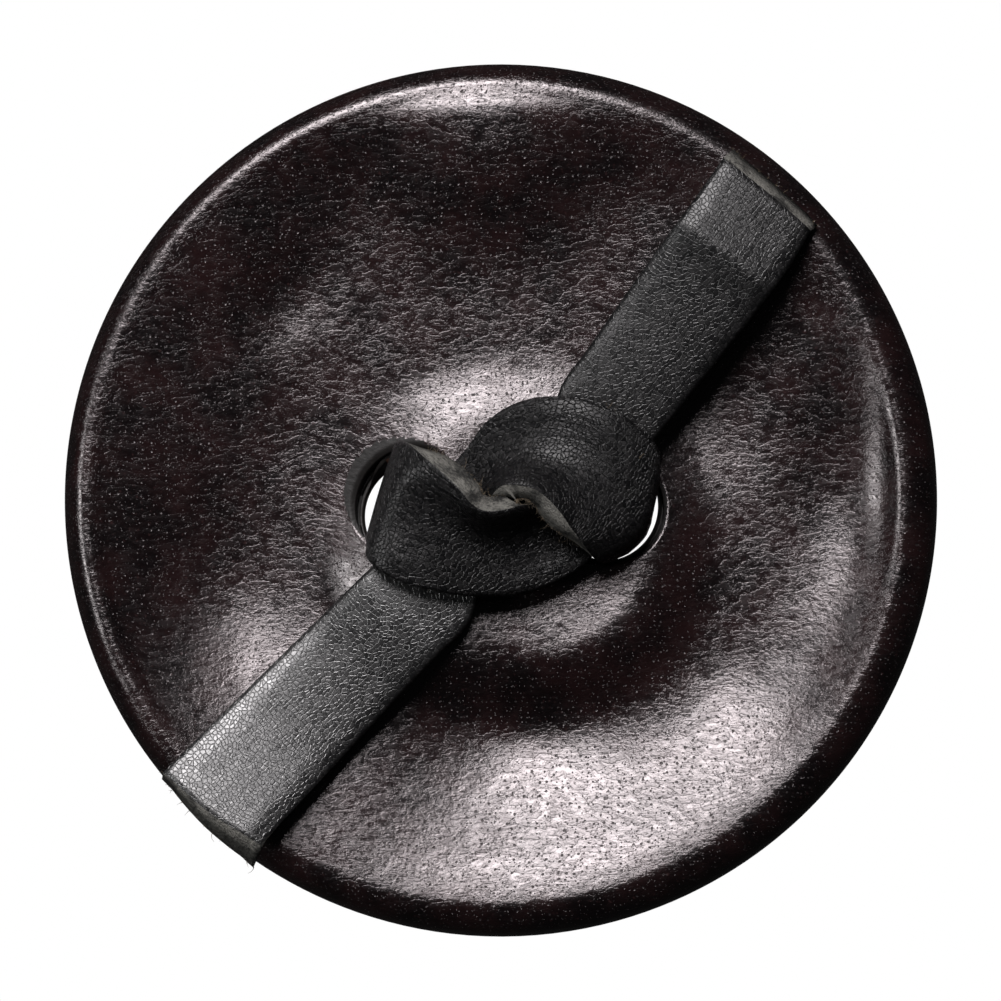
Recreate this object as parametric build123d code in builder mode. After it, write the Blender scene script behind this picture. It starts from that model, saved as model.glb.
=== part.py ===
"""Moulded leather dish with two punched holes and one flat leather thong tied over them.

The dish lies face up on its flat back.  +Z is up, the origin is the middle of the
outline on the resting plane, +X runs roughly from one hole to the other.
Millimetres throughout.
"""

from math import cos, hypot, radians, sin
import os

from build123d import *

# ---------------------------------------------------------------- driving dimensions

# dish outline and face
dish_radius = 20.0
rim_crest_radius = 18.4
rim_crest_height = 4.6
rim_waist_height = 2.9        # level of the widest point of the rolled rim
rim_shoulder = (19.52, 4.08)  # a point on the roll between crest and waist
rim_tuck = (19.62, 1.62)      # a point on the roll between waist and turned margin
well_radius = 12.4
well_height = 2.75
boss_crest_radius = 6.6
boss_crest_height = 4.5
boss_middle_height = 4.4

# leather thicknesses
cover_thickness = 1.0
margin_thickness = 0.8        # the turned margin is skived thinner than the face
backing_thickness = 0.8
glue_line = 0.06

# cover turned under at the back
margin_inner_radius = 15.9
margin_corner_radius = 18.8
margin_bend_radius = 18.3

# backing and the hollow moulded into it for the bridge of the thong
backing_radius = 18.2
back_hollow_height = 2.0
back_hollow_top_radius = 6.3
back_hollow_mouth_radius = 8.0
back_hollow_wall = 0.75       # how far the wall of the hollow stands out, measured level

# punched holes
hole_diameter = 5.2
hole_pitch = 9.6
hole_line_angle = -3.3        # the line through both holes is a little off the X axis
knot_middle_x = 0.2

# thong
thong_width = 4.8
thong_thickness = 1.2
thong_clearance = 0.12
leg_top_height = 3.8
bridge_bend_radius = 0.5
strand_steps = 18             # straight stretches that make up each strand

# tails of the thong, each measured along its own run over the face
tail_seam_gap = 0.06
upper_tail_seam = (5.35, 4.62)
upper_tail_heading = 54.1
upper_tail_reach = 11.5
lower_tail_seam = (-4.55, -5.15)
lower_tail_heading = 225.7
lower_tail_reach = 12.3
tail_sag_height = 4.6         # underside of a tail where it bridges the well
tail_bevel = 0.45             # how far the flesh side stands out past the grain side
tail_end_run = 1.7            # last stretch of a tail, resting over the rim
tail_end_rise = 0.25

# ---------------------------------------------------------------- shared geometry

half_pitch = hole_pitch / 2
hole_line = Location((knot_middle_x, 0, 0), (0, 0, hole_line_angle))
hole_spots = [hole_line * Location((side * half_pitch, 0, 0)) for side in (-1, 1)]

# face of the dish as radius and height, from the axis out to the rim crest
face_points = [
    (0, boss_middle_height),
    (boss_crest_radius / 2, (boss_middle_height + boss_crest_height) / 2),
    (boss_crest_radius, boss_crest_height),
    ((boss_crest_radius + well_radius) / 2, (boss_crest_height + well_height) / 2),
    (well_radius, well_height),
    ((well_radius + rim_crest_radius) / 2, (well_height + rim_crest_height) / 2),
    (rim_crest_radius, rim_crest_height),
]


def lowered(points, drop):
    """The same run of points, lower by one leather thickness."""
    return [(radius, height - drop) for radius, height in points]


def punch_holes(diameter):
    """Cut the two round holes straight through the sub-part being built."""
    with Locations(*hole_spots):
        Cylinder(diameter / 2, 30, mode=Mode.SUBTRACT)


# ---------------------------------------------------------------- face cover

cover_floor = backing_thickness + glue_line
rim_inner_radius = dish_radius - cover_thickness
cover_inside = lowered(face_points, cover_thickness)
margin_top = cover_floor + margin_thickness
inner_shoulder = (18.80, 3.40)
inner_tuck = (18.82, 2.16)

with BuildPart() as face_cover:
    with BuildSketch(Plane.XZ):
        with BuildLine():
            Spline(*face_points, tangents=[(1, 0), (1, 0)])
            ThreePointArc(
                (rim_crest_radius, rim_crest_height),
                rim_shoulder,
                (dish_radius, rim_waist_height),
            )
            ThreePointArc(
                (dish_radius, rim_waist_height),
                rim_tuck,
                (margin_corner_radius, cover_floor),
            )
            Line((margin_corner_radius, cover_floor), (margin_inner_radius, cover_floor))
            Line((margin_inner_radius, cover_floor), (margin_inner_radius, margin_top))
            Line((margin_inner_radius, margin_top), (margin_bend_radius, margin_top))
            ThreePointArc(
                (margin_bend_radius, margin_top),
                inner_tuck,
                (rim_inner_radius, rim_waist_height),
            )
            ThreePointArc(
                (rim_inner_radius, rim_waist_height),
                inner_shoulder,
                (rim_crest_radius, rim_crest_height - cover_thickness),
            )
            Spline(*cover_inside, tangents=[(1, 0), (1, 0)])
            Line((0, boss_middle_height - cover_thickness), (0, boss_middle_height))
        make_face()
    revolve(axis=Axis.Z)
    punch_holes(hole_diameter)
face_cover.part.label = "face_cover"

# ---------------------------------------------------------------- backing

with BuildPart() as backing:
    with BuildSketch(Plane.XZ):
        with BuildLine():
            Polyline(
                (0, back_hollow_height),
                (back_hollow_top_radius, back_hollow_height),
                (back_hollow_mouth_radius, 0),
                (backing_radius, 0),
                (backing_radius, backing_thickness),
                (back_hollow_mouth_radius + back_hollow_wall, backing_thickness),
                (back_hollow_top_radius + back_hollow_wall, back_hollow_height + backing_thickness),
                (0, back_hollow_height + backing_thickness),
                close=True,
            )
        make_face()
    revolve(axis=Axis.Z)
    punch_holes(hole_diameter)
backing.part.label = "backing"

# ---------------------------------------------------------------- core

core_top = lowered(face_points, cover_thickness + glue_line)
core_radius = rim_inner_radius - glue_line
step_height = margin_top + glue_line
step_radius = margin_inner_radius - glue_line
boss_floor = back_hollow_height + backing_thickness + glue_line
boss_wall = back_hollow_wall + 0.1

with BuildPart() as core:
    with BuildSketch(Plane.XZ):
        with BuildLine():
            Spline(*core_top, tangents=[(1, 0), (1, 0)])
            ThreePointArc(core_top[-1], (18.74, 3.36), (core_radius, rim_waist_height))
            ThreePointArc(
                (core_radius, rim_waist_height),
                (18.76, 2.20),
                (margin_bend_radius - 0.1, step_height),
            )
            Polyline(
                (margin_bend_radius - 0.1, step_height),
                (step_radius, step_height),
                (step_radius, cover_floor),
                (back_hollow_mouth_radius + boss_wall, cover_floor),
                (back_hollow_top_radius + boss_wall, boss_floor),
                (0, boss_floor),
                core_top[0],
            )
        make_face()
    revolve(axis=Axis.Z)
    punch_holes(hole_diameter)
core.part.label = "core"

# ---------------------------------------------------------------- thong: bridge, strands, half knot

bridge_floor = thong_clearance
leg_outer = half_pitch + thong_thickness / 2
leg_inner = half_pitch - thong_thickness / 2

# One strand from its hole to the far side of the knot.  Each line is the low outer edge
# and the raised inner edge of the strap, in the frame of the left hole; the other strand
# is the same run turned half way round.
strand_run = [
    ((-4.8, -2.4, 3.8), (-4.8, 2.4, 3.8)),     # on top of its leg, in the hole
    ((-5.0, -2.35, 5.0), (-4.6, 2.35, 5.2)),   # leaving the hole
    ((-4.9, -2.8, 5.9), (-3.5, 1.7, 6.8)),     # bending over
    ((-3.1, -3.7, 6.2), (-2.0, 0.7, 7.8)),     # over the other strand
    ((-0.6, -4.3, 5.7), (-0.5, -0.3, 8.1)),    # round the bottom of the knot
    ((2.1, -3.4, 5.4), (0.5, 0.4, 7.1)),       # turning up the far side
    ((3.5, -1.4, 5.3), (0.4, 1.6, 6.1)),       # under the other strand
]


def turned(point, half_turn):
    """A knot point in the dish frame, optionally turned half way round the knot."""
    x, y, z = point
    sign = -1 if half_turn else 1
    angle = radians(hole_line_angle)
    return Vector(
        knot_middle_x + sign * (x * cos(angle) - y * sin(angle)),
        sign * (x * sin(angle) + y * cos(angle)),
        z,
    )


def tail_section(seam, heading, along, height):
    """Low-edge and high-edge points of a tail lying flat across its heading."""
    angle = radians(heading)
    half = thong_width / 2
    x = seam[0] + along * cos(angle)
    y = seam[1] + along * sin(angle)
    right = Vector(x + half * sin(angle), y - half * cos(angle), height)
    left = Vector(x - half * sin(angle), y + half * cos(angle), height)
    return right, left


def strap_planes(edges):
    """Evenly spaced section planes of a strap whose two edges run through the given points."""
    low_line = Spline(*[low for low, high in edges], mode=Mode.PRIVATE)
    high_line = Spline(*[high for low, high in edges], mode=Mode.PRIVATE)
    places = [step / strand_steps for step in range(strand_steps + 1)]
    lows = [low_line @ place for place in places]
    highs = [high_line @ place for place in places]
    middles = [(low + high) / 2 for low, high in zip(lows, highs)]
    planes = []
    for index, middle in enumerate(middles):
        before = middles[max(index - 1, 0)]
        after = middles[min(index + 1, strand_steps)]
        across = (highs[index] - lows[index]).normalized()
        run = after - before
        run = (run - across * run.dot(across)).normalized()
        planes.append(Plane(origin=middle, x_dir=across, z_dir=run))
    # the first section lies flat on top of the leg that it grows from
    planes[0] = Plane(origin=middles[0], x_dir=planes[0].x_dir, z_dir=(0, 0, 1))
    return planes


def strand_planes(half_turn, seam, heading):
    """Sections of one strand, out of its hole and into its tail."""
    edges = [(turned(low, half_turn), turned(high, half_turn)) for low, high in strand_run]
    edges.append(tail_section(seam, heading, -1.3, tail_seam_height))
    edges.append(tail_section(seam, heading, -tail_seam_gap, tail_seam_height))
    return strap_planes(edges)


tail_seam_height = boss_crest_height + thong_clearance + thong_thickness / 2

# upright plane through both holes, with x along them and y down
bridge_plane = Plane(
    origin=(knot_middle_x, 0, 0),
    x_dir=hole_line.x_axis.direction,
    z_dir=hole_line.y_axis.direction,
)
leg_length = leg_top_height - bridge_floor

with BuildPart() as thong_knot:
    # bridge behind the dish and the two legs up through the holes
    with BuildSketch(bridge_plane) as bridge_profile:
        with Locations((0, -bridge_floor - leg_length / 2)):
            Rectangle(2 * leg_outer, leg_length)
        fillet(bridge_profile.vertices().group_by(Axis.Z)[0], bridge_bend_radius)
        with Locations((0, -bridge_floor - thong_thickness - leg_length / 2)):
            Rectangle(2 * leg_inner, leg_length, mode=Mode.SUBTRACT)
    extrude(amount=thong_width / 2, both=True)
    # the two strands, each lofted out of its hole, over and under, into its tail
    for half_turn, seam, heading in (
        (False, upper_tail_seam, upper_tail_heading),
        (True, lower_tail_seam, lower_tail_heading),
    ):
        for plane in strand_planes(half_turn, seam, heading):
            with BuildSketch(plane):
                Rectangle(thong_width, thong_thickness)
        loft(ruled=True)
thong_knot.part.label = "thong_knot"


# ---------------------------------------------------------------- tails

def tail_side(seam, heading):
    """Side-view plane of a tail, with x along its run and y up."""
    angle = radians(heading)
    return Plane(
        origin=(seam[0], seam[1], 0),
        x_dir=(cos(angle), sin(angle), 0),
        z_dir=(sin(angle), -cos(angle), 0),
    )


def tail_lines(seam, reach):
    """Points of the underside and of the upper side of a tail in its side view."""
    start_under = tail_seam_height - thong_thickness / 2
    rim_under = rim_crest_height + thong_clearance
    well = well_radius - hypot(*seam)
    under = [
        (tail_seam_gap, start_under),
        (well, tail_sag_height),
        (reach - tail_end_run, rim_under),
        (reach + tail_bevel, rim_under + tail_end_rise),
    ]
    over = [
        (tail_seam_gap, start_under + thong_thickness),
        (well, tail_sag_height + thong_thickness),
        (reach - tail_end_run, rim_under + thong_thickness),
        (reach, rim_under + thong_thickness + tail_end_rise),
    ]
    return under, over


with BuildPart() as tail_upper:
    under, over = tail_lines(upper_tail_seam, upper_tail_reach)
    with BuildSketch(tail_side(upper_tail_seam, upper_tail_heading)):
        with BuildLine():
            Spline(*under, tangents=[(1, 0), (1, 0.15)])
            Spline(*over, tangents=[(1, 0), (1, 0.15)])
            Line(under[0], over[0])
            Line(under[-1], over[-1])
        make_face()
    extrude(amount=thong_width / 2, both=True)
tail_upper.part.label = "tail_upper"

with BuildPart() as tail_lower:
    under, over = tail_lines(lower_tail_seam, lower_tail_reach)
    with BuildSketch(tail_side(lower_tail_seam, lower_tail_heading)):
        with BuildLine():
            Spline(*under, tangents=[(1, 0), (1, 0.15)])
            Spline(*over, tangents=[(1, 0), (1, 0.15)])
            Line(under[0], over[0])
            Line(under[-1], over[-1])
        make_face()
    extrude(amount=thong_width / 2, both=True)
tail_lower.part.label = "tail_lower"

# ---------------------------------------------------------------- export

os.makedirs("parts", exist_ok=True)
for sub_part in (face_cover, core, backing, thong_knot, tail_upper, tail_lower):
    export_step(sub_part.part, f"parts/{sub_part.part.label}.step")
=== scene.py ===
# %% [markdown]
# # A moulded leather dish with a knotted thong
#
# The object is a palm-sized leather dish: a stiff core wrapped in grain leather, two
# punched holes, and one flat leather thong that comes up through both holes, is tied
# in a half knot over the middle and ends in two cut tails that lie out to the rim.
#
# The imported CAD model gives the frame, the bodies and the thickness of the backing. Blender
# replaces the plain solids with leather sheets that are cut, shaped and given a thickness,
# the way the real pieces are made.

# %% Load the frame
import math
import random
import bmesh
import bpy
from mathutils import Matrix, Vector


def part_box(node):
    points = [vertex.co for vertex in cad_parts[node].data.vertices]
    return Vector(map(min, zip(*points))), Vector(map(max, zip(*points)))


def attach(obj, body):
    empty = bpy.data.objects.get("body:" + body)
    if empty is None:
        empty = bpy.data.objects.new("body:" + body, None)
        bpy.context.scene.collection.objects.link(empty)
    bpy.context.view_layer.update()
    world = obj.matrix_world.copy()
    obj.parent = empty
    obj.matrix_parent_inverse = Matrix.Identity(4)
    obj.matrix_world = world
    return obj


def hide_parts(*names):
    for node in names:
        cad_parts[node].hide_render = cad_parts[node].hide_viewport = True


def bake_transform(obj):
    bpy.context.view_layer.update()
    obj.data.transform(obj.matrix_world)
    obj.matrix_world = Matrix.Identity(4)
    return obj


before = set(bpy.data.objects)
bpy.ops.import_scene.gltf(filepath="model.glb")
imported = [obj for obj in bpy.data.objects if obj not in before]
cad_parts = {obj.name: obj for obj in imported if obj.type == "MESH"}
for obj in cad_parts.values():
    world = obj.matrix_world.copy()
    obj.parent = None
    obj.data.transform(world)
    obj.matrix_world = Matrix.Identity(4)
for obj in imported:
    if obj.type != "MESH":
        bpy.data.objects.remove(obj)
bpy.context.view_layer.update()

# %% [markdown]
# All shaping below is done in millimetres, because leather is thought of in
# millimetres, and each piece is scaled to metres when it is finished. Only the thickness of
# the backing is read from the CAD nodes. The outline, the relief and the route of the lace
# are written out below for a dish of 40 mm, so they don't follow a change of the CAD.

# %% Sizes
MM = 1000.0
cover_low, cover_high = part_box("face_cover")

dish_radius = cover_high.x * MM
rim_height = cover_high.z * MM
glue_line = 0.06
backing_thickness = cover_low.z * MM - glue_line
thong_thickness = 1.2
hole_radius = 2.5

# the line through both holes is turned a little from the X axis
knot_middle = Vector((0.2, 0.02))
hole_line_turn = math.radians(-3.3)
half_pitch = 4.8
print("dish radius", round(dish_radius, 2), "rim height", round(rim_height, 2))


# %% Helpers for shaping
def ease(start, end, value):
    """0 before start, 1 after end, and an even S between them."""
    t = min(max((value - start) / (end - start), 0.0), 1.0)
    return t * t * (3 - 2 * t)


def run_through(points, spots):
    """Places a smooth line through points, and reads it at spots from 0 to len(points) - 1."""
    read = []
    last = len(points) - 1
    for spot in spots:
        i = min(int(spot), last - 1)
        t = spot - i
        p1, p2 = points[i], points[i + 1]
        p0 = points[i - 1] if i > 0 else p1 * 2 - p2
        p3 = points[i + 2] if i + 2 <= last else p2 * 2 - p1
        d1 = max((p2 - p1).length, 1e-6)
        d0 = max((p1 - p0).length, 1e-6)
        d2 = max((p3 - p2).length, 1e-6)
        m1 = ((p1 - p0) / d0 * d1 + (p2 - p1) / d1 * d0) / (d0 + d1) * d1
        m2 = ((p2 - p1) / d1 * d2 + (p3 - p2) / d2 * d1) / (d1 + d2) * d1
        a, b = t * t * t, t * t
        read.append(p1 * (2 * a - 3 * b + 1) + m1 * (a - 2 * b + t) + p2 * (3 * b - 2 * a) + m2 * (a - b))
    return read


def finish_piece(name, bm, materials, body):
    """Turns millimetres to metres, writes the mesh, shades it smooth and rides it on a body."""
    bmesh.ops.scale(bm, vec=(1 / MM, 1 / MM, 1 / MM), verts=bm.verts)
    mesh = bpy.data.meshes.new(name)
    bm.to_mesh(mesh)
    bm.free()
    piece = bpy.data.objects.new(name, mesh)
    bpy.context.scene.collection.objects.link(piece)
    for material in materials:
        mesh.materials.append(material)
    mesh.shade_smooth()
    if body:
        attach(piece, body)
    print(name, len(mesh.vertices), "points", len(mesh.polygons), "faces")
    return piece


# %% [markdown]
# ## The face of the dish
#
# The face is a shallow bowl with a low oval boss in the middle, where the leather was
# pushed up from behind, and a ring of hollows that thumbs pressed into the wet leather.
# One function gives the height of the face at any place. The bowl is a smooth line from
# the middle to the crest of the rim, the boss is an oval step, and each hollow is a soft
# bell-shaped dip with its own width, length and turn. No two hollows are alike.

# %% Height of the face
# radius and height of the plain bowl
bowl_line = [
    (0, 3.0), (5, 3.0), (8, 3.06), (11, 3.20), (13, 3.42), (15, 3.76), (16.5, 4.08), (18.1, 4.47), (18.8, 4.58),
]
boss_middle = Vector((0.9, -1.7))
boss_reach = (7.6, 7.2)
boss_height = 1.05
boss_softness = 0.26
boss_tilt = 0.09

# middle x and y, depth, half width, half length, turn in degrees; a negative depth is a swell
pressed_hollows = [
    (1.2, -10.3, 0.62, 3.4, 2.1, 0),
    (2.8, -4.6, 0.26, 3.2, 2.0, 0),
    (9.4, -12.6, -0.22, 3.2, 2.0, 36),
    (-7.6, -12.8, -0.20, 2.6, 2.0, -30),
    (7.4, -6.6, -0.25, 1.6, 1.8, -45),
    (16.0, 0.6, 0.85, 2.0, 3.4, 0),
    (12.0, -7.6, 0.42, 4.8, 2.4, 57),
    (-13.0, -4.2, 0.80, 3.2, 3.4, -15),
    (-9.8, 9.3, 0.35, 1.8, 1.2, 40),
    (-6.4, 14.2, 0.30, 2.4, 1.8, 20),
    (5.6, 14.2, 0.30, 2.4, 1.8, -20),
    (-0.6, 15.5, -0.75, 3.2, 2.2, 0),
    (-4.6, -8.8, -0.35, 1.9, 2.0, 0),
    (9.6, 4.2, 0.30, 2.0, 2.6, 20),
    (8.6, -6.6, 0.25, 2.0, 1.5, -50),
    (-9.6, 2.6, 0.20, 1.8, 2.4, 0),
]


def bowl_height(radius):
    """Height of the plain bowl at a radius."""
    spot = 0.0
    for i in range(len(bowl_line) - 1):
        inner, outer = bowl_line[i][0], bowl_line[i + 1][0]
        if radius >= inner:
            spot = i + min((radius - inner) / (outer - inner), 1.0)
    points = [Vector((r, z, 0)) for r, z in bowl_line]
    return run_through(points, [min(spot, len(points) - 1.0001)])[0].y


bowl_steps = [bowl_height(i * 0.05) for i in range(0, 381)]


def face_height(x, y):
    """Height of the face of the dish over a place on the resting plane."""
    radius = math.hypot(x, y)
    place = min(radius / 0.05, 379.0)
    step = int(place)
    height = bowl_steps[step] + (bowl_steps[step + 1] - bowl_steps[step]) * (place - step)
    oval = math.hypot((x - boss_middle.x) / boss_reach[0], (y - boss_middle.y) / boss_reach[1])
    boss = 1 - ease(1 - boss_softness, 1 + boss_softness, oval)
    height += boss * (boss_height - boss_tilt * (y - boss_middle.y))
    inside_rim = 1 - ease(17.8, 18.8, radius)
    for px, py, depth, wide, long, turn in pressed_hollows:
        c, s = math.cos(math.radians(turn)), math.sin(math.radians(turn))
        a = ((x - px) * c + (y - py) * s) / wide
        b = ((y - py) * c - (x - px) * s) / long
        height -= depth * inside_rim * math.exp(-(a * a + b * b) / 2)
    return height


print("face height in the middle", round(face_height(0, 0), 2), "and at the rim", round(face_height(18.8, 0), 2))

# %% [markdown]
# ## A disc of leather with two holes
#
# The cover, the core and the backing are all discs with the same two holes, so one
# function cuts them. The middle is two half-discs, one round each hole: a flat grid is
# rolled into a ring from the hole out to the half-disc's edge, so that its lines run
# round the hole and a rounded hole edge comes out clean. From there the sheet grows
# outwards by extruding its edge, ring after ring, along a list of radii and heights.
#
# Every point also remembers its place on the flat hide, before the leather was shaped.
# The grain is drawn on that place, so it wraps round the rim without stretching.

# %% Cut a disc with two holes
field_radius = 9.2
line_steps = 40
arc_steps = 132
field_rings = 24
along_holes = Vector((math.cos(hole_line_turn), math.sin(hole_line_turn)))


def hole_centre(side):
    """Middle of the left hole for side -1, and of the right hole for side 1."""
    return knot_middle + along_holes * (side * half_pitch)


def half_disc_edge(centre, side, angle):
    """Distance from a hole's centre to the edge of its half-disc, in one direction."""
    direction = Vector((math.cos(angle), math.sin(angle)))
    b = centre.dot(direction)
    reach = -b + math.sqrt(b * b - centre.length_squared + field_radius**2)
    towards_middle = -side * direction.dot(along_holes)
    if towards_middle > 1e-6:
        reach = min(reach, half_pitch / towards_middle)
    return reach


def corner_angle(side, up):
    """Direction from a hole's centre to the upper or lower corner of its half-disc."""
    across = Vector((-along_holes.y, along_holes.x)) * up
    b = knot_middle.dot(across)
    corner = knot_middle + across * (-b + math.sqrt(b * b - knot_middle.length_squared + field_radius**2))
    arm = corner - hole_centre(side)
    return math.atan2(arm.y, arm.x)


def half_field(bm, side, radius_of_hole):
    """Rolls a grid into the ring between one hole and the edge of its half-disc."""
    centre = hole_centre(side)
    columns = line_steps + arc_steps
    made = bmesh.ops.create_grid(bm, x_segments=columns, y_segments=field_rings, size=0.5)
    start, end = corner_angle(side, side), corner_angle(side, -side)
    line_sweep = (end - start) % (2 * math.pi)
    for vert in made["verts"]:
        column = round((vert.co.x + 0.5) * columns)
        ring = vert.co.y + 0.5
        if column <= line_steps:
            angle = start + line_sweep * column / line_steps
        else:
            angle = start + line_sweep + (2 * math.pi - line_sweep) * (column - line_steps) / arc_steps
        reach = half_disc_edge(centre, side, angle)
        distance = radius_of_hole + (reach - radius_of_hole) * (0.3 * ring + 0.7 * ring * ring)
        vert.co = Vector((centre.x + math.cos(angle) * distance, centre.y + math.sin(angle) * distance, 0))


def holed_disc(radius_of_hole, height_at, rings):
    """A sheet with two holes: it lies at height_at(x, y), and then follows the rings outwards."""
    bm = bmesh.new()
    cut_place = bm.verts.layers.float_vector.new("cut_place")
    for side in (-1, 1):
        half_field(bm, side, radius_of_hole)
    bmesh.ops.remove_doubles(bm, verts=bm.verts, dist=0.002)
    bmesh.ops.recalc_face_normals(bm, faces=bm.faces)
    if sum(face.normal.z for face in bm.faces) < 0:
        bmesh.ops.reverse_faces(bm, faces=bm.faces)
    edge = [e for e in bm.edges if e.is_boundary and min(v.co.length for v in e.verts) > field_radius - 0.01]
    for vert in bm.verts:
        vert[cut_place] = vert.co.copy()
        vert.co.z = height_at(vert.co.x, vert.co.y)
    last_radius, last_height, flat_radius = field_radius, height_at(field_radius, 0), field_radius
    for radius, height in rings:
        grown = bmesh.ops.extrude_edge_only(bm, edges=edge)
        edge = [g for g in grown["geom"] if isinstance(g, bmesh.types.BMEdge)]
        level = height_at(radius, 0) if height is None else height
        flat_radius += math.hypot(radius - last_radius, level - last_height)
        last_radius, last_height = radius, level
        for vert in {v for e in edge for v in e.verts}:
            way = Vector((vert.co.x, vert.co.y, 0)).normalized()
            vert[cut_place] = way * flat_radius
            vert.co = way * radius
            vert.co.z = height_at(vert.co.x, vert.co.y) if height is None else height
    bm.normal_update()
    return bm


def lean_holes(bm, top, bottom, lean_left, lean_right):
    """Leans both holes: from the top down to the bottom, the leather round a hole moves over."""
    for vert in bm.verts:
        depth = min(max((top - vert.co.z) / (top - bottom), 0.0), 1.0)
        for side, lean in ((-1, lean_left), (1, lean_right)):
            gap = (Vector((vert.co.x, vert.co.y)) - hole_centre(side)).length - hole_radius
            hold = 1 - ease(0.0, 1.9, gap)
            vert.co.x += lean[0] * depth * hold
            vert.co.y += lean[1] * depth * hold


left_lean = (0.85, -1.05)
right_lean = (-0.27, 0.0)
lean_top, lean_bottom = 4.0, 2.0

# %% [markdown]
# ## Leather finishes
#
# Leather is seen by its relief more than by its colour: dark dyed leather is nearly
# black, and what shows is the light on its hair pits, creases and rubbed edges. So each
# effect is a node group that gives a mask or a height, built once, and every leather
# mixes them in its own amounts. Patterns read the place on the flat hide, in millimetres.

# %% Helpers for node trees
def add_node(tree, kind, inputs=None, **settings):
    """Adds a node, sets it up, and joins or fills its inputs."""
    made = tree.nodes.new(kind)
    for name, value in settings.items():
        setattr(made, name, value)
    for name, value in (inputs or {}).items():
        if isinstance(value, bpy.types.NodeSocket):
            tree.links.new(value, made.inputs[name])
        else:
            made.inputs[name].default_value = value
    return made


def new_group(name, inputs, outputs):
    """A shader node group with named inputs and outputs."""
    group = bpy.data.node_groups.new(name, "ShaderNodeTree")
    for label, kind, value in inputs:
        socket = group.interface.new_socket(name=label, in_out="INPUT", socket_type=kind)
        if value is not None:
            socket.default_value = value
    for label in outputs:
        group.interface.new_socket(name=label, in_out="OUTPUT", socket_type="NodeSocketFloat")
    return group, group.nodes.new("NodeGroupInput").outputs, group.nodes.new("NodeGroupOutput")


def use_group(tree, group, inputs):
    """Places a node group in a tree."""
    made = tree.nodes.new("ShaderNodeGroup")
    made.node_tree = group
    for name, value in inputs.items():
        if isinstance(value, bpy.types.NodeSocket):
            tree.links.new(value, made.inputs[name])
        else:
            made.inputs[name].default_value = value
    return made.outputs


def fade(tree, value, start, end, low=0.0, high=1.0):
    """Turns a value between start and end into one between low and high, with soft ends."""
    made = add_node(tree, "ShaderNodeMapRange", interpolation_type="SMOOTHSTEP")
    tree.links.new(value, made.inputs["Value"])
    for name, number in (("From Min", start), ("From Max", end), ("To Min", low), ("To Max", high)):
        made.inputs[name].default_value = number
    return made.outputs["Result"]


def calc(tree, operation, first, second=0.0, clamp=False):
    """One sum on two values."""
    made = add_node(tree, "ShaderNodeMath", operation=operation, use_clamp=clamp)
    for index, value in enumerate((first, second)):
        if isinstance(value, bpy.types.NodeSocket):
            tree.links.new(value, made.inputs[index])
        else:
            made.inputs[index].default_value = value
    return made.outputs[0]


def tint(tree, mask, low, high):
    """Mixes two colours by a mask."""
    made = add_node(tree, "ShaderNodeMix", data_type="RGBA")
    tree.links.new(mask, made.inputs[0])
    for index, value in ((6, low), (7, high)):
        if isinstance(value, bpy.types.NodeSocket):
            tree.links.new(value, made.inputs[index])
        else:
            made.inputs[index].default_value = (*value, 1)
    return made.outputs[2]


def stretched(tree, place, sizes, turn=0.0):
    """Scales a place on the leather, turned by some degrees, for a pattern with a direction."""
    return add_node(
        tree, "ShaderNodeMapping", {"Vector": place, "Scale": sizes, "Rotation": (0, 0, math.radians(turn))},
        vector_type="POINT",
    ).outputs[0]


# %% [markdown]
# Hair pits are where the hairs left the skin. They stand in loose rows, often in pairs, and
# are deeper in some spots. Two layers of small cells give their places: a cell's own
# colour decides whether it holds a pit, and how wide that pit is.

# %% Hair pits
pits_group, inside, outside = new_group(
    "hair pits",
    [("Place", "NodeSocketVector", None), ("Pits per mm", "NodeSocketFloat", 2.4), ("Kept", "NodeSocketFloat", 0.6)],
    ["Pits"],
)
tree = pits_group
found = None
for shift, share in ((0.0, 1.0), (7.3, 1.6)):
    moved = add_node(tree, "ShaderNodeVectorMath", {0: inside["Place"], 1: (shift, shift * 0.7, 0)}, operation="ADD")
    rate = calc(tree, "MULTIPLY", inside["Pits per mm"], share)
    cells = add_node(
        tree, "ShaderNodeTexVoronoi", {"Vector": moved.outputs[0], "Scale": rate, "Randomness": 0.9},
        voronoi_dimensions="2D",
    )
    parts = add_node(tree, "ShaderNodeSeparateColor", {"Color": cells.outputs["Color"]})
    width = calc(tree, "MULTIPLY_ADD", parts.outputs["Red"], 0.12)
    width.node.inputs[2].default_value = 0.09
    inner = calc(tree, "MULTIPLY", width, 0.35)
    dot = add_node(tree, "ShaderNodeMapRange", interpolation_type="SMOOTHSTEP")
    for name, value in (("Value", cells.outputs["Distance"]), ("From Min", inner), ("From Max", width)):
        tree.links.new(value, dot.inputs[name])
    dot.inputs["To Min"].default_value, dot.inputs["To Max"].default_value = 1.0, 0.0
    held = calc(tree, "LESS_THAN", parts.outputs["Green"], inside["Kept"])
    dot = calc(tree, "MULTIPLY", dot.outputs["Result"], held)
    found = dot if found is None else calc(tree, "MAXIMUM", found, dot)
tree.links.new(found, outside.inputs["Pits"])
print("group", pits_group.name)

# %% [markdown]
# Between the pits the skin is crossed by fine creases. They are soft noise, pulled long in
# the direction in which the leather was stretched, and folded so that each crease is a
# narrow dark line and not a broad wave.

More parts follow.
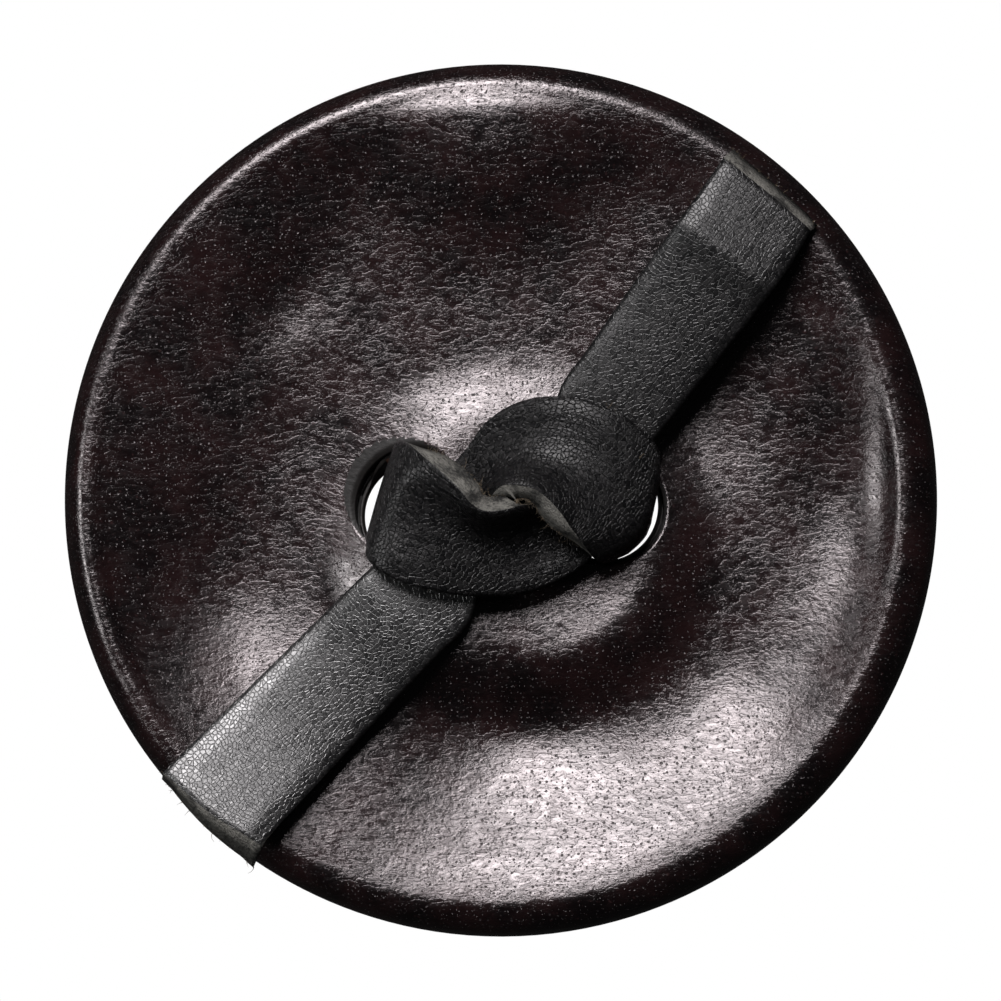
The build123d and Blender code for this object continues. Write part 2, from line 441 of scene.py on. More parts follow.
# %% Fine creases
crease_group, inside, outside = new_group(
    "fine creases",
    [("Place", "NodeSocketVector", None), ("Creases per mm", "NodeSocketFloat", 2.0), ("Warp", "NodeSocketFloat", 0.4)],
    ["Creases", "Waves"],
)
tree = crease_group
bend = add_node(tree, "ShaderNodeTexNoise", {"Vector": inside["Place"], "Scale": 0.5, "Detail": 2.0})
bend = add_node(tree, "ShaderNodeVectorMath", {0: bend.outputs["Color"], 3: 1.0}, operation="SCALE")
tree.links.new(inside["Warp"], bend.inputs[3])
moved = add_node(tree, "ShaderNodeVectorMath", {0: inside["Place"], 1: bend.outputs[0]}, operation="ADD")
noise = add_node(
    tree, "ShaderNodeTexNoise", {"Vector": moved.outputs[0], "Scale": inside["Creases per mm"], "Detail": 4.0,
                                 "Roughness": 0.62},
)
fold = calc(tree, "ABSOLUTE", calc(tree, "SUBTRACT", noise.outputs[0], 0.5))
tree.links.new(fade(tree, fold, 0.0, 0.09, 1.0, 0.0), outside.inputs["Creases"])
tree.links.new(noise.outputs[0], outside.inputs["Waves"])
print("group", crease_group.name)

# %% [markdown]
# The thong is cut from a finer skin, whose surface is a net of small many-sided cells, like
# on the back of a hand. A cell pattern gives the distance to the nearest border, and that
# is read as a raised pad between narrow grooves.

# %% Skin cells
cells_group, inside, outside = new_group(
    "skin cells",
    [("Place", "NodeSocketVector", None), ("Cells per mm", "NodeSocketFloat", 2.2)],
    ["Pads", "Shade"],
)
tree = cells_group
bend = add_node(tree, "ShaderNodeTexNoise", {"Vector": inside["Place"], "Scale": 1.7, "Detail": 2.0})
bend = add_node(tree, "ShaderNodeVectorMath", {0: bend.outputs["Color"], 3: 0.22}, operation="SCALE")
moved = add_node(tree, "ShaderNodeVectorMath", {0: inside["Place"], 1: bend.outputs[0]}, operation="ADD")
border = add_node(
    tree, "ShaderNodeTexVoronoi", {"Vector": moved.outputs[0], "Scale": inside["Cells per mm"]},
    voronoi_dimensions="2D", feature="DISTANCE_TO_EDGE",
)
centre = add_node(
    tree, "ShaderNodeTexVoronoi", {"Vector": moved.outputs[0], "Scale": inside["Cells per mm"]},
    voronoi_dimensions="2D",
)
tree.links.new(fade(tree, border.outputs["Distance"], 0.0, 0.16), outside.inputs["Pads"])
parts = add_node(tree, "ShaderNodeSeparateColor", {"Color": centre.outputs["Color"]})
tree.links.new(parts.outputs["Red"], outside.inputs["Shade"])
print("group", cells_group.name)

# %% [markdown]
# A leather material is the same recipe each time: a dark dye that is uneven, painted shade
# that darkens the pits, a gloss that is duller in the pits, and two bumps, one for the broad
# creases and one for the fine grain.

# %% Leather for the face
def place_in_mm(tree, attribute):
    """The place that a point had on the flat leather, in millimetres."""
    return add_node(tree, "ShaderNodeAttribute", attribute_name=attribute, attribute_type="GEOMETRY").outputs["Vector"]


def bump(tree, height, depth, strength=1.0, normal=None):
    """Turns a height between 0 and 1 into relief of a depth in millimetres."""
    made = add_node(tree, "ShaderNodeBump", {"Height": height, "Distance": depth / MM, "Strength": strength})
    if normal is not None:
        tree.links.new(normal, made.inputs["Normal"])
    return made.outputs[0]


def face_leather(name):
    """Dark red-brown grain leather with hair pits."""
    material = bpy.data.materials.new(name)
    material.use_nodes = True
    tree = material.node_tree
    shader = tree.nodes["Principled BSDF"]
    place = place_in_mm(tree, "cut_place")
    pits = use_group(tree, pits_group, {"Place": place, "Pits per mm": 2.7, "Kept": 0.6})["Pits"]
    long_place = stretched(tree, place, (0.55, 1.25, 1.0), -18)
    fine = use_group(tree, crease_group, {"Place": long_place, "Creases per mm": 3.2, "Warp": 0.5})
    broad = use_group(tree, crease_group, {"Place": place, "Creases per mm": 0.8, "Warp": 0.9})
    patch = add_node(tree, "ShaderNodeTexNoise", {"Vector": place, "Scale": 0.32, "Detail": 5.0, "Roughness": 0.6})
    # painted glints: small lighter specks in the dark dye stand in for glints on the leather
    painted_glint_speck = add_node(tree, "ShaderNodeTexNoise", {"Vector": place, "Scale": 5.5, "Detail": 2.0})
    dye = tint(tree, fade(tree, patch.outputs[0], 0.36, 0.68), (0.0012, 0.0007, 0.0008), (0.0058, 0.0023, 0.0024))
    dye = tint(tree, fade(tree, painted_glint_speck.outputs[0], 0.60, 0.78), dye, (0.013, 0.006, 0.006))
    # painted shade: the colour goes darker inside the hair pits, where shade falls
    dye = tint(tree, pits, dye, (0.0015, 0.0007, 0.0008))
    tree.links.new(dye, shader.inputs["Base Color"])
    dull = fade(tree, fine["Waves"], 0.3, 0.7, 0.20, 0.31)
    rough = calc(tree, "MULTIPLY_ADD", pits, 0.3)
    tree.links.new(dull, rough.node.inputs[2])
    tree.links.new(rough, shader.inputs["Roughness"])
    normal = bump(tree, broad["Waves"], 0.10, 0.5)
    normal = bump(tree, fine["Waves"], 0.028, 0.7, normal)
    normal = bump(tree, calc(tree, "SUBTRACT", 1.0, fine["Creases"]), 0.008, 0.6, normal)
    normal = bump(tree, calc(tree, "SUBTRACT", 1.0, pits), 0.03, 0.8, normal)
    tree.links.new(normal, shader.inputs["Normal"])
    shader.inputs["Specular IOR Level"].default_value = 0.55
    shader.inputs["Specular Tint"].default_value = (1.0, 0.93, 0.94, 1)
    return material


def burnished(name):
    """The cut wall of a hole: dyed black and rubbed smooth."""
    material = bpy.data.materials.new(name)
    material.use_nodes = True
    tree = material.node_tree
    shader = tree.nodes["Principled BSDF"]
    place = place_in_mm(tree, "cut_place")
    fibre = use_group(tree, crease_group, {"Place": place, "Creases per mm": 3.0, "Warp": 0.6})
    dye = tint(tree, fibre["Waves"], (0.0010, 0.0009, 0.0009), (0.0045, 0.0038, 0.0034))
    tree.links.new(dye, shader.inputs["Base Color"])
    tree.links.new(bump(tree, fibre["Waves"], 0.05, 0.6), shader.inputs["Normal"])
    shader.inputs["Roughness"].default_value = 0.5
    shader.inputs["Specular IOR Level"].default_value = 0.16
    return material


cover_leather = face_leather("face leather")
burnished_cut = burnished("burnished cut")
print("finish", cover_leather.name)

# %% [markdown]
# ## The cover, the core and the backing
#
# The cover runs from the two holes over the boss and the hollows, up to the crest of the
# rim, round the outside and under the core, where its margin is glued. The edge of each
# hole is rolled in a little by the punch. The core fills the space under it, and the
# backing closes the underside with a raised hollow for the thong's bridge.

# %% Cover
def near_hole(x, y):
    """Distance to the edge of the nearer hole."""
    return min((Vector((x, y)) - hole_centre(side)).length for side in (-1, 1)) - hole_radius


def cover_surface(x, y):
    """Top of the cover, rolled down at the edge of a hole."""
    return face_height(x, y) - 0.16 * (1 - ease(-0.12, 0.26, near_hole(x, y)))


rim_rings = [(r, None) for r in (9.8, 10.5, 11.2, 11.9, 12.6, 13.3, 14.0, 14.7, 15.4, 16.1, 16.7, 17.3, 17.8, 18.2)]
rim_rings += [(18.5, 4.56), (18.8, 4.58), (19.1, 4.47), (19.36, 4.27), (19.58, 4.0), (19.77, 3.66), (19.91, 3.27)]
rim_rings += [(19.98, 2.9), (19.97, 2.52), (19.88, 2.15), (19.74, 1.8), (19.54, 1.45), (19.3, 1.15), (19.05, 0.96)]
rim_rings += [(18.75, 0.87), (18.3, 0.86), (17.5, 0.86), (16.7, 0.86), (15.9, 0.86)]

# the crest of the rim isn't quite round: it is pushed a little to one side
crest_shift = (-0.28, 0.20)
sheet_thickness = 0.8

cover_mesh = holed_disc(hole_radius, cover_surface, rim_rings)
for vert in cover_mesh.verts:
    reach = math.hypot(vert.co.x, vert.co.y)
    hold = ease(16.0, 18.2, reach) * (1 - ease(18.9, 19.9, reach)) * ease(3.2, 4.2, vert.co.z)
    vert.co.x += crest_shift[0] * hold
    vert.co.y += crest_shift[1] * hold
cover_mesh.normal_update()
bmesh.ops.solidify(cover_mesh, geom=cover_mesh.faces[:], thickness=sheet_thickness)
lean_holes(cover_mesh, lean_top, lean_bottom, left_lean, right_lean)
for face in cover_mesh.faces:
    spot = face.calc_center_median()
    upright = abs(face.normal.z) < 0.6 and near_hole(spot.x, spot.y) < 0.9
    if upright or near_hole(spot.x, spot.y) < 0.10:
        face.material_index = 1
cover = finish_piece("cover", cover_mesh, [cover_leather, burnished_cut], "dish")
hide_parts("face_cover")


# %% [markdown]
# The core is a block of board: the cover's shape again, a leather's thickness lower, pushed
# down as a whole to the top of the backing. The backing is a thin sheet that lies flat on
# its edge ring and steps up in the middle.

# %% Core
def hollow_rise(x, y):
    """How far the backing steps up in the middle, from 0 to 1."""
    return 1 - ease(6.3, 8.0, math.hypot(x, y))


core_mesh = holed_disc(
    hole_radius + 0.04, lambda x, y: face_height(x, y) - 0.9,
    [(r, None) for r in (10.5, 12.0, 13.5, 15.0, 16.3, 17.4)] + [(18.2, 3.5), (18.8, 3.0), (19.0, 2.4)],
)
block = bmesh.ops.extrude_face_region(core_mesh, geom=core_mesh.faces[:], use_keep_orig=True)
for vert in [g for g in block["geom"] if isinstance(g, bmesh.types.BMVert)]:
    vert.co.z = 1.75 if math.hypot(vert.co.x, vert.co.y) > 15.5 else 0.86 + 2.0 * hollow_rise(vert.co.x, vert.co.y)
bmesh.ops.recalc_face_normals(core_mesh, faces=core_mesh.faces)
lean_holes(core_mesh, lean_top, lean_bottom, left_lean, right_lean)


def board(name):
    """Pressed leather board, dyed nearly black where the punched holes show it."""
    material = bpy.data.materials.new(name)
    material.use_nodes = True
    tree = material.node_tree
    shader = tree.nodes["Principled BSDF"]
    place = place_in_mm(tree, "cut_place")
    fibre = use_group(tree, crease_group, {"Place": place, "Creases per mm": 3.5, "Warp": 0.6})
    dye = tint(tree, fibre["Waves"], (0.0018, 0.0014, 0.0012), (0.007, 0.005, 0.004))
    tree.links.new(dye, shader.inputs["Base Color"])
    tree.links.new(fade(tree, fibre["Waves"], 0.2, 0.8, 0.45, 0.7), shader.inputs["Roughness"])
    tree.links.new(bump(tree, fibre["Waves"], 0.04, 0.6), shader.inputs["Normal"])
    return material


core = finish_piece("core_board", core_mesh, [board("pressed board")], "dish")
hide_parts("core")

# %% Backing
backing_mesh = holed_disc(
    hole_radius, lambda x, y: 2.0 * hollow_rise(x, y),
    [(10.5, 0.0), (12.0, 0.0), (13.5, 0.0), (15.0, 0.0), (16.5, 0.0), (17.6, 0.0), (18.05, 0.03), (18.2, 0.14)],
)
bmesh.ops.reverse_faces(backing_mesh, faces=backing_mesh.faces[:])
backing_mesh.normal_update()
bmesh.ops.solidify(backing_mesh, geom=backing_mesh.faces[:], thickness=backing_thickness - 0.04)
for vert in backing_mesh.verts:
    if math.hypot(vert.co.x, vert.co.y) > 17.9:
        vert.co.z = min(max(vert.co.z, 0.0), 0.8)
lean_holes(backing_mesh, lean_top, lean_bottom, left_lean, right_lean)


def backing_leather_finish(name):
    """Plain brown leather with hair pits, its gloss uneven over the sheet."""
    material = bpy.data.materials.new(name)
    material.use_nodes = True
    tree = material.node_tree
    shader = tree.nodes["Principled BSDF"]
    place = place_in_mm(tree, "cut_place")
    pits = use_group(tree, pits_group, {"Place": place, "Pits per mm": 1.7, "Kept": 0.5})["Pits"]
    fine = use_group(tree, crease_group, {"Place": place, "Creases per mm": 2.4, "Warp": 0.7})
    patch = add_node(tree, "ShaderNodeTexNoise", {"Vector": place, "Scale": 0.25, "Detail": 4.0})
    dye = tint(tree, fade(tree, patch.outputs[0], 0.35, 0.65), (0.011, 0.0055, 0.004), (0.030, 0.014, 0.009))
    # painted shade: the colour goes darker inside the hair pits, where shade falls
    dye = tint(tree, pits, dye, (0.004, 0.002, 0.0015))
    tree.links.new(dye, shader.inputs["Base Color"])
    tree.links.new(fade(tree, fine["Waves"], 0.3, 0.7, 0.42, 0.62), shader.inputs["Roughness"])
    normal = bump(tree, fine["Waves"], 0.07, 0.8)
    normal = bump(tree, calc(tree, "SUBTRACT", 1.0, pits), 0.04, 0.8, normal)
    tree.links.new(normal, shader.inputs["Normal"])
    return material


backing = finish_piece(
    "back_leather", backing_mesh, [backing_leather_finish("backing leather")], "dish")
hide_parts("backing")

# %% [markdown]
# ## The knotted thong
#
# The thong is one flat lace. Under the dish it makes a short bridge in the hollow. Its two
# ends stand up through the holes, cross over and under each other in a half knot, and run
# out as tails. A lace that turns on edge twists and cups, so it can't be swept from one
# fixed section: instead each strand is a list of stations. A station gives three places of
# the grain side: the outer edge, the middle and the inner edge. A flat grid is laid through
# all stations with smooth lines, and solidify then gives it the thickness of the lace.
#
# Both strands are point-symmetric in idea, but the real knot is pulled more to one side.

# %% Stations of the left strand
left_strand = [
    # down the right leg, along the bridge and up the left leg
    ((5.30, -2.62, 2.80), (6.45, -1.30, 2.80), (5.70, 1.85, 2.80)),
    ((5.15, -2.60, 1.30), (6.00, -0.80, 1.30), (5.55, 1.95, 1.30)),
    ((5.10, -2.40, 0.45), (5.20, -0.25, 0.42), (5.10, 1.95, 0.45)),
    ((4.20, -2.42, 0.15), (4.20, -0.22, 0.13), (4.20, 2.05, 0.15)),
    ((0.30, -2.45, 0.18), (0.30, -0.10, 0.16), (0.30, 2.30, 0.18)),
    ((-3.10, -2.65, 0.15), (-3.10, -0.25, 0.13), (-3.10, 2.10, 0.15)),
    ((-4.30, -2.65, 0.45), (-4.15, -0.30, 0.42), (-3.85, 2.00, 0.45)),
    ((-5.10, -2.60, 1.30), (-4.80, -0.28, 1.30), (-4.10, 1.90, 1.30)),
    ((-5.62, -2.10, 2.80), (-5.12, 0.10, 2.80), (-4.35, 2.25, 2.80)),
    ((-6.00, -1.65, 4.10), (-5.42, 0.45, 4.10), (-4.62, 2.60, 4.10)),
    # out of the hole, bending over
    ((-6.25, -1.95, 5.10), (-5.58, 0.35, 5.35), (-4.78, 2.82, 5.60)),
    ((-6.28, -2.50, 6.00), (-5.05, 0.20, 6.55), (-4.25, 2.55, 6.95)),
    # over the other strand
    ((-5.50, -3.25, 6.60), (-3.85, 0.05, 6.95), (-3.50, 1.85, 7.80)),
    ((-4.40, -3.75, 6.80), (-2.90, -0.55, 6.95), (-2.66, 1.10, 8.15)),
    ((-3.10, -4.10, 6.75), (-2.20, -1.15, 6.80), (-2.00, 0.45, 8.35)),
    ((-1.80, -4.32, 6.50), (-1.45, -1.60, 6.60), (-1.50, -0.18, 8.42)),
    # round the bottom
    ((-0.50, -4.40, 6.15), (-0.60, -1.90, 6.35), (-0.85, -0.56, 8.42)),
    ((0.90, -4.28, 5.85), (0.45, -1.95, 6.10), (0.05, -0.56, 8.36)),
    ((2.30, -3.85, 5.60), (1.50, -1.70, 5.85), (0.85, -0.36, 8.15)),
    ((3.60, -3.10, 5.45), (2.55, -1.25, 5.75), (1.45, -0.12, 7.60)),
    # under the other strand
    ((4.70, -1.85, 5.35), (3.40, -0.25, 5.60), (1.75, 0.55, 6.50)),
    ((5.30, -0.20, 5.35), (3.85, 1.10, 5.55), (1.95, 2.05, 5.95)),
    ((5.90, 1.20, 5.50), (4.30, 2.50, 5.55), (2.30, 3.75, 5.70)),
    # out to the rim
    ((6.74, 2.38, 5.62), (4.80, 3.85, 5.72), (2.76, 5.24, 5.66)),
    ((8.00, 3.97, 5.66), (6.02, 5.45, 5.80), (3.92, 6.87, 5.70)),
    ((9.85, 6.30, 5.78), (7.82, 7.90, 5.88), (5.64, 9.34, 5.76)),
    ((11.65, 8.60, 6.10), (9.60, 10.28, 6.18), (7.38, 11.78, 6.08)),
    ((12.40, 9.60, 6.40), (10.25, 11.22, 6.44), (8.08, 12.74, 6.36)),
    ((13.05, 10.50, 6.14), (10.95, 12.20, 6.14), (8.80, 13.72, 6.08)),
    ((14.15, 12.32, 5.86), (12.15, 14.05, 5.84), (10.15, 15.64, 5.76)),
]

# %% Stations of the right strand
right_strand = [
    ((5.70, 1.85, 2.78), (6.45, -1.30, 2.78), (5.30, -2.62, 2.78)),
    ((5.95, 1.90, 4.10), (6.60, -1.45, 4.10), (5.45, -2.68, 4.10)),
    ((6.85, 1.90, 4.95), (6.66, -1.55, 5.10), (5.30, -2.86, 5.20)),
    ((7.50, 1.75, 5.75), (6.48, -1.30, 6.00), (4.62, -2.92, 6.15)),
    # over the other strand
    ((7.05, 2.65, 6.50), (5.35, -0.25, 6.80), (3.85, -2.05, 7.35)),
    ((5.75, 3.75, 6.80), (3.95, 0.95, 6.95), (3.28, -1.20, 7.90)),
    ((4.45, 4.38, 6.80), (3.20, 1.50, 6.90), (2.72, -0.38, 8.25)),
    ((3.20, 4.70, 6.65), (2.50, 2.00, 6.75), (2.15, 0.22, 8.40)),
    ((1.90, 4.74, 6.35), (1.65, 2.25, 6.50), (1.50, 0.64, 8.45)),
    # round the top
    ((0.65, 4.45, 6.00), (0.80, 2.30, 6.20), (0.80, 0.76, 8.40)),
    ((-0.60, 3.65, 5.70), (-0.15, 2.00, 5.90), (0.15, 0.70, 8.10)),
    ((-1.60, 2.35, 5.50), (-0.95, 1.25, 5.75), (-0.38, 0.30, 7.50)),
    # under the other strand
    ((-2.60, 1.20, 5.40), (-1.75, 0.35, 5.60), (-0.70, -0.60, 6.40)),
    ((-3.45, 0.10, 5.40), (-2.30, -0.90, 5.55), (-0.85, -2.00, 5.90)),
    ((-4.15, -1.00, 5.45), (-2.70, -2.25, 5.50), (-1.00, -3.75, 5.60)),
    # out to the rim
    ((-5.00, -2.11, 5.45), (-3.24, -3.84, 5.58), (-1.46, -5.58, 5.50)),
    ((-6.43, -3.52, 5.40), (-4.70, -5.30, 5.56), (-2.85, -7.05, 5.44)),
    ((-8.55, -5.62, 4.98), (-6.83, -7.48, 5.12), (-4.90, -9.22, 5.02)),
    ((-10.70, -7.73, 5.18), (-8.95, -9.65, 5.30), (-6.96, -11.42, 5.22)),
    ((-12.50, -9.50, 5.58), (-10.75, -11.50, 5.86), (-8.68, -13.24, 6.00)),
    ((-14.00, -10.98, 5.92), (-12.15, -12.95, 6.26), (-10.00, -14.64, 6.46)),
    ((-15.39, -12.35, 6.24), (-13.35, -14.15, 6.62), (-10.95, -15.64, 6.84)),
]
print("stations", len(left_strand), "and", len(right_strand))

# %% [markdown]
# The grid gets its columns closer together near both edges, where the knife left a corner
# that has worn round: there the grain side drops a little. Each point remembers how far
# along and across the lace it is, and how deep in it, for the grain to follow.

# %% Lay a lace through its stations
def lay_lace(stations, tail_station, steps=7, columns=16):
    """A solid lace through the stations; faces are 0 knot grain, 1 flesh side, 2 cut edge, 3 tail grain."""
    bm = bmesh.new()
    lace_place = bm.verts.layers.float_vector.new("lace_place")
    rows = (len(stations) - 1) * steps
    inner_spots = [0.16 + i * 1.68 / (columns - 6) for i in range(1, columns - 6)]
    across_spots = [0.0, 0.07, 0.16] + inner_spots + [1.84, 1.93, 2.0]
    columns = len(across_spots) - 1
    rails = [run_through([Vector(s[i]) for s in stations], [k / steps for k in range(rows + 1)]) for i in range(3)]
    lines = [run_through([rails[i][k] for i in range(3)], across_spots) for k in range(rows + 1)]
    travelled = [0.0]
    for k in range(rows):
        travelled.append(travelled[-1] + (rails[1][k + 1] - rails[1][k]).length)
    made = bmesh.ops.create_grid(bm, x_segments=rows, y_segments=columns, size=0.5)
    for vert in made["verts"]:
        row, column = round((vert.co.x + 0.5) * rows), round((vert.co.y + 0.5) * columns)
        line = lines[row]
        vert.co = line[column]
        width = sum((line[j + 1] - line[j]).length for j in range(columns))
        reached = sum((line[j + 1] - line[j]).length for j in range(column))
        vert[lace_place] = Vector((travelled[row], reached - width / 2, 0.0))
    bm.normal_update()
    tail_faces = sorted(bm.faces, key=lambda f: -f.calc_center_median().length)[:40]
    if sum(face.normal.z for face in tail_faces) < 0:
        bmesh.ops.reverse_faces(bm, faces=bm.faces[:])
        bm.normal_update()
    grain = set(bm.faces)
    drops = {}
    for vert in bm.verts:
        from_edge = 2.55 - abs(vert[lace_place].y)
        drops[vert] = vert.normal * -0.16 * (1 - ease(-0.1, 0.45, from_edge))
    for vert, drop in drops.items():
        vert.co += drop
    bm.normal_update()
    outcome = bmesh.ops.solidify(bm, geom=bm.faces[:], thickness=thong_thickness - 0.08)
    flesh = {g for g in outcome["geom"] if isinstance(g, bmesh.types.BMFace)}
    flesh_points = {v for face in flesh for v in face.verts}
    for vert in flesh_points:
        vert[lace_place] = vert[lace_place] + Vector((0, 0, thong_thickness))
    tail_start = travelled[tail_station * steps]
    for face in bm.faces:
        in_tail = min(v[lace_place].x for v in face.verts) > tail_start
        face.material_index = (3 if in_tail else 0) if face in grain else 1 if face in flesh else 2
    return bm, flesh_points, travelled[-1]


def slant_end(bm, flesh_points, length, towards):
    """Moves the flesh side of a tail's end outwards, where the knife cut at a slant."""
    lace_place = bm.verts.layers.float_vector["lace_place"]
    for vert in flesh_points:
        gap = length - vert[lace_place].x
        if gap < 0.5:
            share = (vert[lace_place].y + 2.6) / 5.2
            shift = Vector(towards[0]) * (1 - share) + Vector(towards[1]) * share
            vert.co += shift * (1 - gap / 0.5)


# the station after which a strand counts as its tail
upper_tail_station, lower_tail_station = 21, 13
left_mesh, left_flesh, left_length = lay_lace(left_strand, upper_tail_station)
slant_end(left_mesh, left_flesh, left_length, ((0.70, 0.18, 0.0), (0.25, 0.74, 0.0)))
right_mesh, right_flesh, right_length = lay_lace(right_strand, lower_tail_station)
slant_end(right_mesh, right_flesh, right_length, ((-0.10, -0.10, 0.0), (-0.20, -0.75, 0.0)))
print("lace lengths in mm", round(left_length, 1), round(right_length, 1))

# %% [markdown]
# The lace has a black grain side, a rough flesh side, and a cut edge where layers of fibre
# show grey. The grain is dullest in the knot, and a little glossier on the lower tail.

# %% Lace finishes
def lace_grain(name, gloss, dull, streak_depth, pad_depth):
    """Black grain with skin cells, drawn into streaks where the lace is bent hard."""
    material = bpy.data.materials.new(name)
    material.use_nodes = True
    tree = material.node_tree
    shader = tree.nodes["Principled BSDF"]
    place = place_in_mm(tree, "lace_place")
    cells = use_group(tree, cells_group, {"Place": place, "Cells per mm": 5.2})
    streak_place = stretched(tree, place, (0.35, 2.2, 1.0))
    streaks = use_group(tree, crease_group, {"Place": streak_place, "Creases per mm": 1.8, "Warp": 0.3})
    broad = use_group(tree, crease_group, {"Place": place, "Creases per mm": 0.6, "Warp": 0.6})
    dye = tint(tree, cells["Shade"], (0.0022, 0.0022, 0.0024), (0.0055, 0.0053, 0.0055))
    # painted shade: the grooves between the skin cells are coloured darker, where shade falls
    dye = tint(tree, cells["Pads"], (0.0010, 0.0010, 0.0010), dye)
    tree.links.new(dye, shader.inputs["Base Color"])
    tree.links.new(fade(tree, cells["Shade"], 0.0, 1.0, dull - 0.05, dull + 0.07), shader.inputs["Roughness"])
    normal = bump(tree, broad["Waves"], 0.10, 0.5)
    normal = bump(tree, streaks["Waves"], streak_depth, 0.7, normal)
    normal = bump(tree, cells["Pads"], pad_depth, 0.7, normal)
    tree.links.new(normal, shader.inputs["Normal"])
    shader.inputs["Specular IOR Level"].default_value = gloss
    return material


def lace_fibre(name, low, high, rough, spread=(0.9, 2.0, 5.0), per_mm=2.0):
    """Raw leather fibres, running along the lace in thin layers."""
    material = bpy.data.materials.new(name)
    material.use_nodes = True
    tree = material.node_tree
    shader = tree.nodes["Principled BSDF"]
    place = place_in_mm(tree, "lace_place")
    layers = use_group(
        tree, crease_group, {"Place": stretched(tree, place, spread), "Creases per mm": per_mm, "Warp": 0.5})
    patch = add_node(tree, "ShaderNodeTexNoise", {"Vector": place, "Scale": 0.8, "Detail": 3.0})
    shade = calc(tree, "MULTIPLY", layers["Waves"], fade(tree, patch.outputs[0], 0.3, 0.7, 0.6, 1.4), clamp=True)
    tree.links.new(tint(tree, fade(tree, shade, 0.25, 0.7), low, high), shader.inputs["Base Color"])
    nap = add_node(tree, "ShaderNodeTexNoise", {"Vector": place, "Scale": 7.0, "Detail": 3.0, "Roughness": 0.7})
    normal = bump(tree, layers["Waves"], 0.12, 0.9)
    tree.links.new(bump(tree, nap.outputs[0], 0.10, 1.0, normal), shader.inputs["Normal"])
    shader.inputs["Roughness"].default_value = rough
    shader.inputs["Specular IOR Level"].default_value = 0.25
    return material


knot_finish = lace_grain("knot grain", 0.15, 0.28, 0.11, 0.032)
tail_finish = lace_grain("tail grain", 0.60, 0.36, 0.02, 0.014)
flesh_finish = lace_fibre("lace flesh side", (0.010, 0.008, 0.006), (0.045, 0.033, 0.021), 0.9)
edge_finish = lace_fibre(
    "lace cut edge", (0.004, 0.004, 0.0035), (0.082, 0.080, 0.072), 0.85, spread=(1.5, 2.0, 3.0), per_mm=3.6)
lace_finishes = [knot_finish, flesh_finish, edge_finish, tail_finish]
upper_tail_finish = lace_grain("upper tail grain", 0.24, 0.34, 0.03, 0.014)

left_lace = finish_piece(
    "left_strand_and_upper_tail", left_mesh, lace_finishes[:3] + [upper_tail_finish], None)
right_lace = finish_piece("right_strand_and_lower_tail", right_mesh, lace_finishes, None)


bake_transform(left_lace)
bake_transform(right_lace)
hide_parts("thong_knot", "tail_upper")
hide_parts("tail_lower")

# %% [markdown]
# A knife leaves a fringe of torn fibres along the flesh side of a cut. Each fibre is three
# short three-sided cones set end to end along a small arc, because a bent hair catches the
# light at several angles. They are made along the points of the cut edge, and go into one
# mesh for each lace.

# %% Torn fibres
def tapered_piece(bm, start, end, wide, thin):
    """A three-sided cone between two points."""
    along = end - start
    turn = along.to_track_quat("Z", "Y").to_matrix().to_4x4()
    return bmesh.ops.create_cone(
        bm, cap_ends=True, segments=3, radius1=wide, radius2=thin, depth=along.length,
        matrix=Matrix.Translation((start + end) / 2) @ turn)["verts"]


def torn_fibres(lace, count, seed):
    """Short bent fibres that stand out of the flesh side's edges of a lace."""
    chance = random.Random(seed)
    mesh = lace.data
    places = mesh.attributes["lace_place"].data
    rims = []
    for face in mesh.polygons:
        if face.material_index == 2:
            deep = max(face.vertices, key=lambda i: (round(places[i].vector[2], 3), *mesh.vertices[i].co))
            rims.append((mesh.vertices[deep].co * MM, face.normal.copy(), Vector(places[deep].vector)))
    rims = sorted((rim for rim in rims if rim[0].z > 3.4), key=lambda rim: (*rim[0], *rim[1]))
    bm = bmesh.new()
    lace_place = bm.verts.layers.float_vector.new("lace_place")
    for _ in range(count):
        root, outwards, place = rims[chance.randrange(len(rims))]
        length = 0.10 + 0.50 * chance.random() ** 4
        wide = chance.uniform(0.009, 0.020)
        lean = Vector((chance.uniform(-1, 1), chance.uniform(-1, 1), chance.uniform(-0.6, 0.5)))
        way = (outwards + lean * 0.9).normalized()
        curl = Vector((chance.uniform(-1, 1), chance.uniform(-1, 1), chance.uniform(-0.3, 0.3))) * 0.8
        start = root - outwards * 0.05 + Vector((0, 0, chance.uniform(-0.05, 0.45)))
        shade = place + Vector((chance.random() * 9, 0, 0))
        for part in range(3):
            end = start + (way + curl * part / 2).normalized() * length / 3
            for vert in tapered_piece(bm, start, end, wide * (1 - 0.25 * part), wide * (0.75 - 0.25 * part) + 0.002):
                vert[lace_place] = shade
            start = end
    return bm


fibre_finish = lace_fibre("torn fibres", (0.008, 0.007, 0.005), (0.085, 0.065, 0.042), 0.8)
left_fringe = finish_piece(
    "fibres_upper_tail", torn_fibres(left_lace, 420, 5), [fibre_finish], None)
right_fringe = finish_piece(
    "fibres_lower_tail", torn_fibres(right_lace, 620, 8), [fibre_finish], None)
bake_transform(left_fringe)
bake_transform(right_fringe)

# %% [markdown]
# ## Table, light and camera
#
# The part lies on a plain white table. A large soft light stands above and behind it, and a
# weaker one low on the left, so that the dark leather shows its relief as pale bands. The
# rest of the room is dim, and the camera looks straight down.

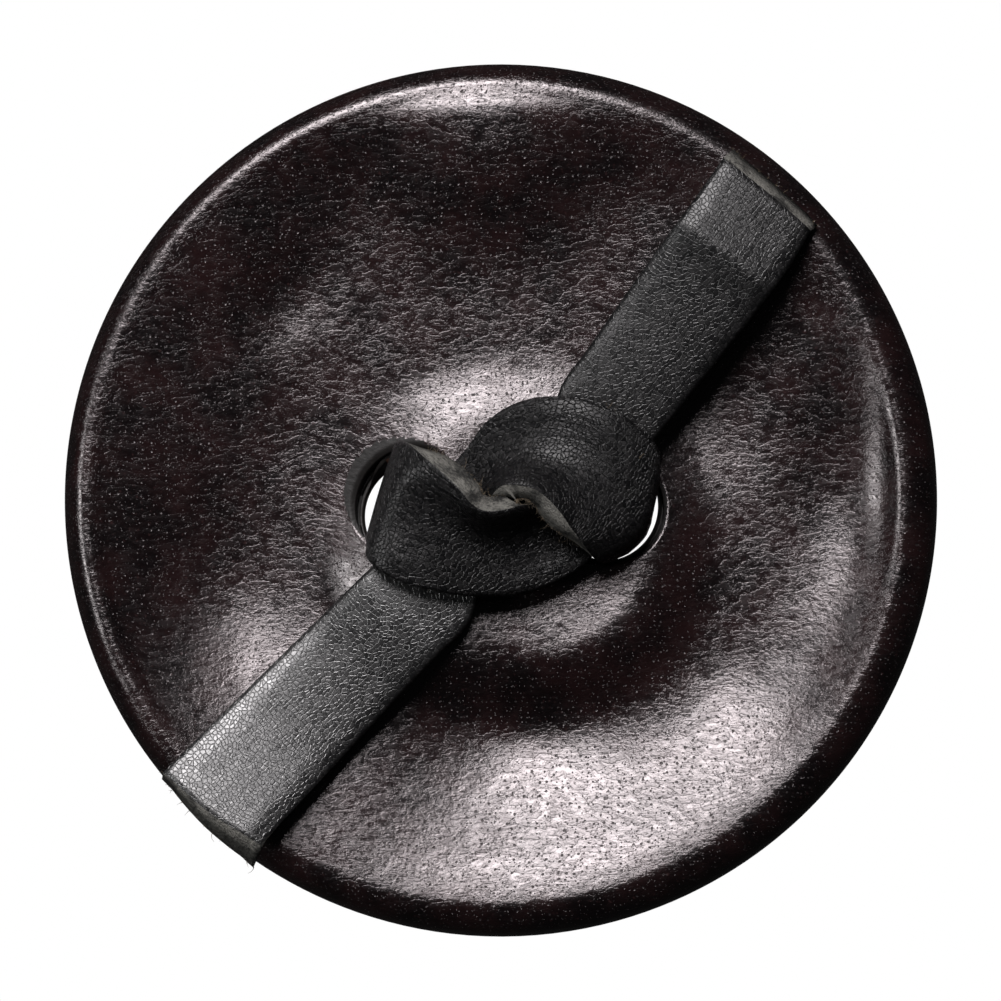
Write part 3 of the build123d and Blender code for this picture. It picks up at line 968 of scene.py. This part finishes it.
# %% Table
table_mesh = bmesh.new()
bmesh.ops.create_grid(table_mesh, x_segments=1, y_segments=1, size=1.5)
table_data = bpy.data.meshes.new("table")
table_mesh.to_mesh(table_data)
table_mesh.free()
table = bpy.data.objects.new("table", table_data)
bpy.context.scene.collection.objects.link(table)
table_finish = bpy.data.materials.new("white table")
table_finish.use_nodes = True
tree = table_finish.node_tree
tree.nodes.remove(tree.nodes["Principled BSDF"])
glow = add_node(tree, "ShaderNodeEmission", {"Color": (1, 1, 1, 1), "Strength": 1.0})
dim = add_node(tree, "ShaderNodeEmission", {"Color": (1, 1, 1, 1), "Strength": 0.02})
path = add_node(tree, "ShaderNodeLightPath")
chosen = add_node(tree, "ShaderNodeMixShader")
tree.links.new(path.outputs["Is Camera Ray"], chosen.inputs[0])
tree.links.new(dim.outputs[0], chosen.inputs[1])
tree.links.new(glow.outputs[0], chosen.inputs[2])
tree.links.new(chosen.outputs[0], tree.nodes["Material Output"].inputs["Surface"])
table_data.materials.append(table_finish)


# %% Light
def soft_light(name, azimuth, elevation, distance, size, power, colour=(1, 1, 1)):
    """A round soft light that faces the middle of the dish."""
    data = bpy.data.lights.new(name, "AREA")
    data.shape = "DISK"
    data.size = size
    data.energy = power
    data.color = colour
    light = bpy.data.objects.new(name, data)
    a, e = math.radians(azimuth), math.radians(elevation)
    way = Vector((math.cos(a) * math.cos(e), math.sin(a) * math.cos(e), math.sin(e)))
    light.location = way * distance
    light.rotation_euler = way.to_track_quat("Z", "Y").to_euler()
    bpy.context.scene.collection.objects.link(light)
    return light


soft_light("main light", 104, 52.5, 0.5, 0.30, 7.0, (1.0, 0.965, 0.975))
soft_light("left light", 185, 35, 0.6, 0.20, 2.0)
room = bpy.data.worlds.new("room")
bpy.context.scene.world = room
room.use_nodes = True
room.node_tree.nodes["Background"].inputs["Color"].default_value = (0.9, 0.95, 1.0, 1)
room.node_tree.nodes["Background"].inputs["Strength"].default_value = 0.02
bpy.context.scene.view_settings.view_transform = "Standard"

# %% Camera
camera = bpy.data.objects.new("camera", bpy.data.cameras.new("camera"))
bpy.context.scene.collection.objects.link(camera)
camera_distance, view_width, widest_level = 600, 45.85, 2.9
camera.data.sensor_width = 36
camera.data.lens = camera.data.sensor_width * camera_distance / view_width
camera.location = (-0.00002, 0, (camera_distance + widest_level) / MM)
bpy.context.scene.camera = camera
